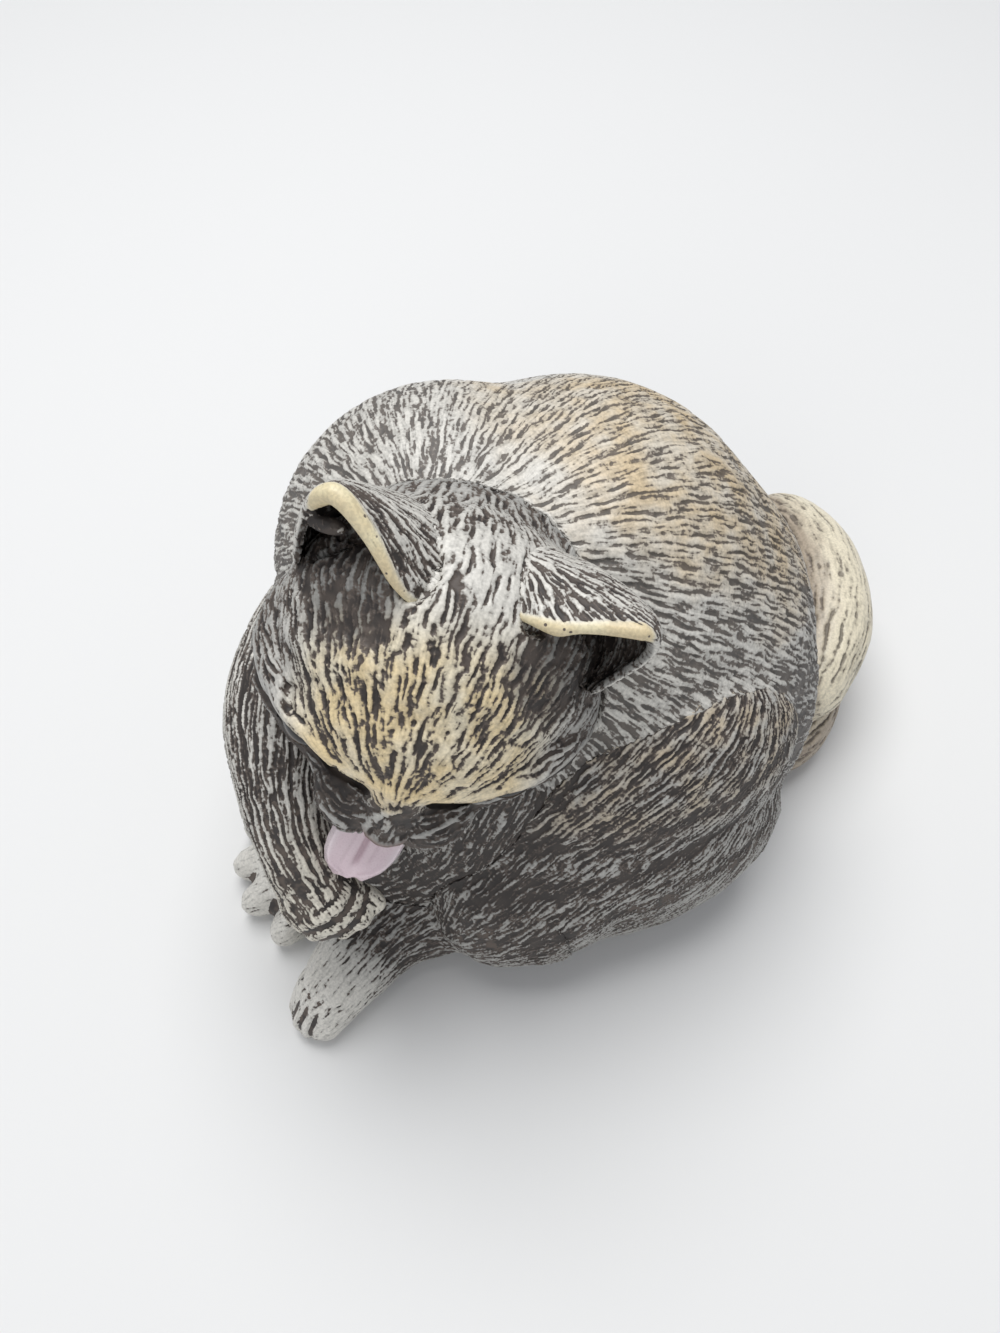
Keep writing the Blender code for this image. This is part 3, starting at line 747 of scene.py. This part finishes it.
def ear_fur(node, stations, cream_to, hollow, flow_from, flap, inner_dark):
    """One ear. Each station has a point of the rim, of the back and of the foot, and half the thickness."""
    hollow, flow_from = np.array(hollow), np.array(flow_from)
    knots = np.array([(*rim, *back, *foot, half) for rim, back, foot, half in stations])
    last = len(knots) - 1
    rows = EDGE_STEPS * last + 1
    fine = np.stack([np.interp(np.linspace(0, last, rows), np.arange(len(knots)), column)
                     for column in knots.T], 1)
    for _ in range(20):
        fine[1:-1] = (fine[:-2] + 2 * fine[1:-1] + fine[2:]) / 4
    edge, back, foot, half = fine[:, 0:3], fine[:, 3:6], fine[:, 6:9], fine[:, 9]
    thick_rows = EDGE_STEPS * cream_to + 1
    thick_edge, thick_half = edge[:thick_rows], half[:thick_rows].copy()
    thick_half[-12:] *= np.linspace(1, 0.55, 12)
    lip = edge - 0.7 * half[:, None] * (back - edge) / np.linalg.norm(back - edge, axis=1, keepdims=True)

    s = np.linspace(0, 1, WALL_STEPS)[None, :, None] ** 1.6
    sheet = (1 - s) ** 2 * lip[:, None] + 2 * s * (1 - s) * back[:, None] + s ** 2 * foot[:, None]
    out = np.cross(np.gradient(sheet, axis=0), np.gradient(sheet, axis=1))
    out *= np.sign(((sheet - hollow) * out).sum(2).mean()) / np.linalg.norm(out, axis=2, keepdims=True)
    reach = np.linalg.norm(sheet - lip[:, None], axis=2) / half[:, None]
    ends = np.minimum(np.arange(rows), np.arange(rows)[::-1])[:, None] / 5
    foot_gap = np.minimum(np.arange(WALL_STEPS)[::-1], 3)[None] / 3
    near = np.clip(np.minimum(np.minimum(reach, ends), foot_gap), 0, 1)
    wall = half[:, None] * np.sqrt(1 - (1 - near) ** 2) * (1 - 0.25 * np.clip(reach / 8, 0, 1))
    shape = bmesh.new()
    for side in (1, -1):
        grid = (sheet + side * wall[:, :, None] * out) @ HEAD_TURN.T + HEAD_AT
        verts = [[shape.verts.new(point * MM) for point in row] for row in grid]
        for low, high in zip(verts, verts[1:]):
            for a, b, c, d in zip(low, low[1:], high[1:], high):
                shape.faces.new((a, b, c, d) if side > 0 else (d, c, b, a))
    bmesh.ops.remove_doubles(shape, verts=shape.verts, dist=0.001 * MM)
    bmesh.ops.recalc_face_normals(shape, faces=shape.faces)
    if flap:
        ledge = bmesh.ops.create_uvsphere(shape, u_segments=32, v_segments=16, radius=MM)["verts"]
        flap_at = (HEAD_AT + HEAD_TURN @ flap) * MM
        for vert in ledge:
            vert.co = Vector(HEAD_TURN @ (np.array(vert.co) * FLAP_SIZE) + flap_at)

    def rim(p):
        """One on the thick rim, from its inner end over the tip."""
        q = head_place(p)
        gap = np.min([np.linalg.norm(q - point, axis=1) - 1.3 * reach
                      for point, reach in zip(thick_edge, thick_half)], axis=0)
        return step(-gap, 0, 0.35)

    def behind(p):
        """How far points lie from the rim."""
        q = head_place(p)
        return np.min([np.linalg.norm(q - point, axis=1) for point in edge[::3]], axis=0)

    def thin_edge(p):
        """One along the bare outer edge, past the thick rim."""
        return step(0.75 - behind(p), 0, 0.3) * (1 - rim(p))

    def inside(p, n):
        """One on the wall that faces the hollow of the ear."""
        inward = hollow - head_place(p)
        inward /= np.linalg.norm(inward, axis=1, keepdims=True)
        return step(((n @ HEAD_TURN) * inward).sum(1), -0.1, 0.25) * (1 - rim(p))

    def on_flap(p):
        """One on the small ledge inside the ear, where it has one."""
        return step(2.6 - np.linalg.norm(head_place(p) - flap, axis=1), 0, 0.6) if flap else 0

    def flow(p, n):
        return (head_place(p) - flow_from) @ HEAD_TURN.T

    def colour(p, n):
        # The wall that faces the hollow is painted dark grey: wash, and painted shade in the hollow.
        return blend(rim(p), blend(inside(p, n), PALE, GREY * 0.6), RIM_CREAM)

    def warm(p, n):
        return 0.55 * rim(p)

    def dark(p, n):
        bare = 1 - rim(p)
        # The inner wall takes wash and painted shade, more of it in the right ear.
        return inner_dark * inside(p, n) - 3 * (1 - bare) + bare * (
            0.4 * step(4 - behind(p), 0, 3) + 1.0 * on_flap(p) - 1.6 * thin_edge(p))

    def carve(p, n):
        return 1 - rim(p)

    def lay(p, n):
        return np.zeros(len(p))

    furred(node, 0.16 * MM, 6, flow, colour, 0.42 * MM, 2.4 * MM, 0.2 * MM, warm=warm, dark=dark, lay=lay,
           carve=carve, shape=shape)


# The last number sets the wash and painted shade inside each ear, deeper in the right ear.
ear_fur("left_ear", LEFT_EAR, 7, (12.5, 1.0, 7.0), (2.0, 14.0, 9.0), None, 0.5)
ear_fur("right_ear", RIGHT_EAR, 8, (-10.0, 3.5, 8.0), (-20.0, 19.0, 16.0), (-12.6, 7.2, 11.0), 1.3)

# Glue
# Two-part resin glue that filled the seams between the castings when they were bonded.
# Dark brown and matt; it lies just under the carved coat and shows only in the creases.

GLUE_DEPTH = 0.45 * MM
GLUE_BLOT = 1.5 * MM
GLUE_GRIT = 0.4 * MM

bpy.data.objects.remove(cast_form)
glued = [node for node in FURRED if node != "head"]
fill = pressed("seam_glue", glued, FORM_SWELL, FORM_GRAIN, FORM_ROUNDS)
points, normals = surface(fill)
move_points(fill, points - GLUE_DEPTH / MM * normals)

glue, tree, shader = new_paint("seam_glue")
place = wire(tree, "ShaderNodeTexCoord", {}).outputs["Object"]
blots = mottle(tree, place, GLUE_BLOT, 2.0)
tree.links.new(mixed(tree, ramp(tree, blots, 0.4, 0.6), DARK_WASH, BROWN_WASH), shader.inputs["Base Color"])
tree.links.new(ramp(tree, blots, 0.4, 0.6, 0.5, 0.7), shader.inputs["Roughness"])
grit = mottle(tree, place, GLUE_GRIT, 1.0)
bump = wire(tree, "ShaderNodeBump", {"Strength": 0.5, "Distance": 0.1 * MM, "Height": grit})
tree.links.new(bump.outputs[0], shader.inputs["Normal"])
fill.materials.clear()
fill.materials.append(glue)
fill.shade_smooth()
glue_piece = add_piece("seam_glue", fill)
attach(glue_piece, "root")

# Eyes
# Glass-like black beads, polished and glued into sockets under the brow.
# A ring of deep brown for the iris barely shows on each.

EYE_RADIUS = 3.2
EYE_LOOK = np.array((0.55, -1, -0.1))
EYE_BLACK = (0.008, 0.007, 0.007, 1)
IRIS_BROWN = (0.055, 0.03, 0.012, 1)
IRIS_FLECK = 0.3 * MM

for side, node in ((1, "left_eye"), (-1, "right_eye")):
    bead = bmesh.new()
    bmesh.ops.create_uvsphere(bead, u_segments=96, v_segments=64, radius=EYE_RADIUS * MM)
    for face in bead.faces:
        face.smooth = True
    centre = HEAD_AT + HEAD_TURN @ (EYE_AT * (side, 1, 1))
    look = HEAD_TURN @ (EYE_LOOK * (side, 1, 1))
    turn = Vector(look).to_track_quat("Z", "Y").to_matrix()
    for vert in bead.verts:
        vert.co = turn @ vert.co + Vector(centre) * MM
    bead_mesh = bpy.data.meshes.new(node + "_bead")
    bead.to_mesh(bead_mesh)
    bead.free()
    gloss, tree, shader = new_paint(node + "_gloss")
    place = wire(tree, "ShaderNodeTexCoord", {}).outputs["Object"]
    pupil = (centre + EYE_RADIUS * look / np.linalg.norm(look)) * MM
    gap = vectors(tree, "DISTANCE", place, tuple(pupil))
    iris = ramp(tree, gap, 0.9 * MM, 1.1 * MM)
    iris = sums(tree, "MULTIPLY", iris, ramp(tree, gap, 1.7 * MM, 2.0 * MM, 1.0, 0.0))
    flecks = ramp(tree, mottle(tree, place, IRIS_FLECK, 2.0), 0.3, 0.7, 0.4, 1.0)
    iris = sums(tree, "MULTIPLY", iris, flecks)
    tree.links.new(mixed(tree, iris, EYE_BLACK, IRIS_BROWN), shader.inputs["Base Color"])
    shader.inputs["Roughness"].default_value = 0.06
    shader.inputs["Specular IOR Level"].default_value = 0.35
    bead_mesh.materials.append(gloss)
    bead_piece = add_piece(node + "_bead", bead_mesh)
    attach(bead_piece, "root")
    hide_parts(node)

# Tongue
# Casting glued in the mouth, laid down onto the raised paw; painted pink and varnished.
# A groove and two finer lines run down the middle, painted darker as painted shade, and the edge is paler.

TONGUE_PATH = [np.array(knot) for knot in
               ((0, -13.4, -7.4), (-0.4, -18.9, -9), (-1.6, -23.9, -11.4), (-2.2, -27, -12.8))]
TONGUE_PINK = (0.76, 0.60, 0.65, 1)
TONGUE_LIGHT = (0.83, 0.69, 0.73, 1)
TONGUE_EDGE = (0.86, 0.78, 0.80, 1)
TONGUE_GROOVE_SHADE = (0.56, 0.40, 0.45, 1)
TONGUE_BLOT = 1.4 * MM
TASTE_BUD = 0.22 * MM

tongue_mesh = pressed("tongue_skin", ["tongue"], 0.0, 0.14 * MM, 10)
points, normals = surface(tongue_mesh)
q = head_place(points)
t = np.linspace(0, 1, 60)[:, None]
a, b, c, d = TONGUE_PATH
spine = a * (1 - t)**3 + 3 * b * t * (1 - t)**2 + 3 * c * t**2 * (1 - t) + d * t**3
across = q[:, 0] - np.interp(-q[:, 1], -spine[:, 1], spine[:, 0])
upper = step((normals @ HEAD_TURN)[:, 2], 0.2, 0.6)
short = step(27 + q[:, 1], 0.6, 2.6)
sink = 0.35 * np.exp(-(across / 0.35) ** 2) + 0.12 * np.exp(-((abs(across) - 1.3) / 0.22) ** 2)
sink = sink * upper * short
move_points(tongue_mesh, points - sink[:, None] * normals)
tongue_mesh.shade_smooth()
keep(tongue_mesh, "groove", sink)
keep(tongue_mesh, "edge", step(abs(across), 2.4, 3.6))

tongue_pink, tree, shader = new_paint("tongue_pink")
place = wire(tree, "ShaderNodeTexCoord", {}).outputs["Object"]
groove = wire(tree, "ShaderNodeAttribute", {}, attribute_name="groove").outputs["Fac"]
edge = wire(tree, "ShaderNodeAttribute", {}, attribute_name="edge").outputs["Fac"]
pink = mixed(tree, mottle(tree, place, TONGUE_BLOT, 2.0), TONGUE_PINK, TONGUE_LIGHT)
pink = mixed(tree, sums(tree, "MULTIPLY", edge, 0.6), pink, TONGUE_EDGE)
# Painted shade: the groove and the finer lines are painted darker by their depth.
pink = mixed(tree, ramp(tree, groove, 0.03, 0.3, 0.0, 0.85), pink, TONGUE_GROOVE_SHADE)
tree.links.new(pink, shader.inputs["Base Color"])
buds = mottle(tree, place, TASTE_BUD, 1.0)
tree.links.new(ramp(tree, buds, 0.3, 0.7, 0.24, 0.42), shader.inputs["Roughness"])
bump = wire(tree, "ShaderNodeBump", {"Strength": 0.4, "Distance": 0.05 * MM, "Height": buds})
tree.links.new(bump.outputs[0], shader.inputs["Normal"])
tongue_mesh.materials.clear()
tongue_mesh.materials.append(tongue_pink)
tongue_piece = add_piece("tongue_skin", tongue_mesh)
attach(tongue_piece, "root")
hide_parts("tongue")

# Pins
# Steel dowels with fine scratches, pressed across the seams.
# They lie inside the castings, so the solids serve as they are.

STEEL_DARK = (0.48, 0.48, 0.50, 1)
STEEL_LIGHT = (0.66, 0.66, 0.67, 1)
STEEL_SCRATCH = 0.15 * MM

pin_steel, tree, shader = new_paint("pin_steel")
place = wire(tree, "ShaderNodeTexCoord", {}).outputs["Object"]
scratches = mottle(tree, place, STEEL_SCRATCH, 3.0)
tree.links.new(mixed(tree, scratches, STEEL_DARK, STEEL_LIGHT), shader.inputs["Base Color"])
tree.links.new(ramp(tree, scratches, 0.3, 0.7, 0.28, 0.45), shader.inputs["Roughness"])
shader.inputs["Metallic"].default_value = 1.0
for name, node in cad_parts.items():
    if name.endswith("_pin"):
        node.data.materials.clear()
        node.data.materials.append(pin_steel)

# Floor, light and camera
# A pale matt floor, a large soft lamp overhead, a weaker one in front and an even sky.
# The camera looks down from the cat's left and front, as the photograph does.

FLOOR_HALF = 3.0
FLOOR_TINT = (0.78, 0.78, 0.77, 1)
SKY_TINT = (0.9, 0.93, 1.0, 1)
SKY_STRENGTH = 0.36
CAMERA_AIM = Vector((-0.009, 0.0, 0.025))
CAMERA_AROUND = math.radians(62)
CAMERA_TIP = math.radians(90 - 55)
CAMERA_DISTANCE = 0.15
SENSOR = 36
FOCAL_PIXELS = 1150
FRAME_PIXELS = 1333

floor_shape = bmesh.new()
bmesh.ops.create_grid(floor_shape, x_segments=1, y_segments=1, size=FLOOR_HALF)
floor_mesh = bpy.data.meshes.new("floor")
floor_shape.to_mesh(floor_mesh)
floor_shape.free()
floor = add_piece("floor", floor_mesh)
floor_paint, _, shader = new_paint("floor_paint")
shader.inputs["Base Color"].default_value = FLOOR_TINT
shader.inputs["Roughness"].default_value = 0.8
floor_mesh.materials.append(floor_paint)


def lamp(name, place, size, power):
    """A round soft lamp that faces the middle of the floor."""
    light = bpy.data.lights.new(name, "AREA")
    light.shape = "DISK"
    light.size = size
    light.energy = power
    made = bpy.data.objects.new(name, light)
    made.location = place
    made.rotation_euler = Vector(place).to_track_quat("Z", "Y").to_euler()
    bpy.context.scene.collection.objects.link(made)


lamp("key", (-0.14, 0.02, 0.62), 0.5, 3.5)
lamp("fill", (0.5, -0.5, 0.4), 0.6, 1.2)

world = bpy.data.worlds.new("studio")
world.use_nodes = True
world.node_tree.nodes["Background"].inputs["Color"].default_value = SKY_TINT
world.node_tree.nodes["Background"].inputs["Strength"].default_value = SKY_STRENGTH
bpy.context.scene.world = world

camera_data = bpy.data.cameras.new("camera")
camera_data.sensor_width = SENSOR
camera_data.lens = FOCAL_PIXELS / FRAME_PIXELS * SENSOR
camera_data.clip_start = 0.01
camera = bpy.data.objects.new("camera", camera_data)
camera.rotation_euler = (CAMERA_TIP, 0, CAMERA_AROUND)
camera_back = camera.rotation_euler.to_matrix() @ Vector((0, 0, 1))
camera.location = CAMERA_AIM + camera_back * CAMERA_DISTANCE
bpy.context.scene.collection.objects.link(camera)
bpy.context.scene.camera = camera
bpy.context.scene.view_settings.view_transform = "Standard"
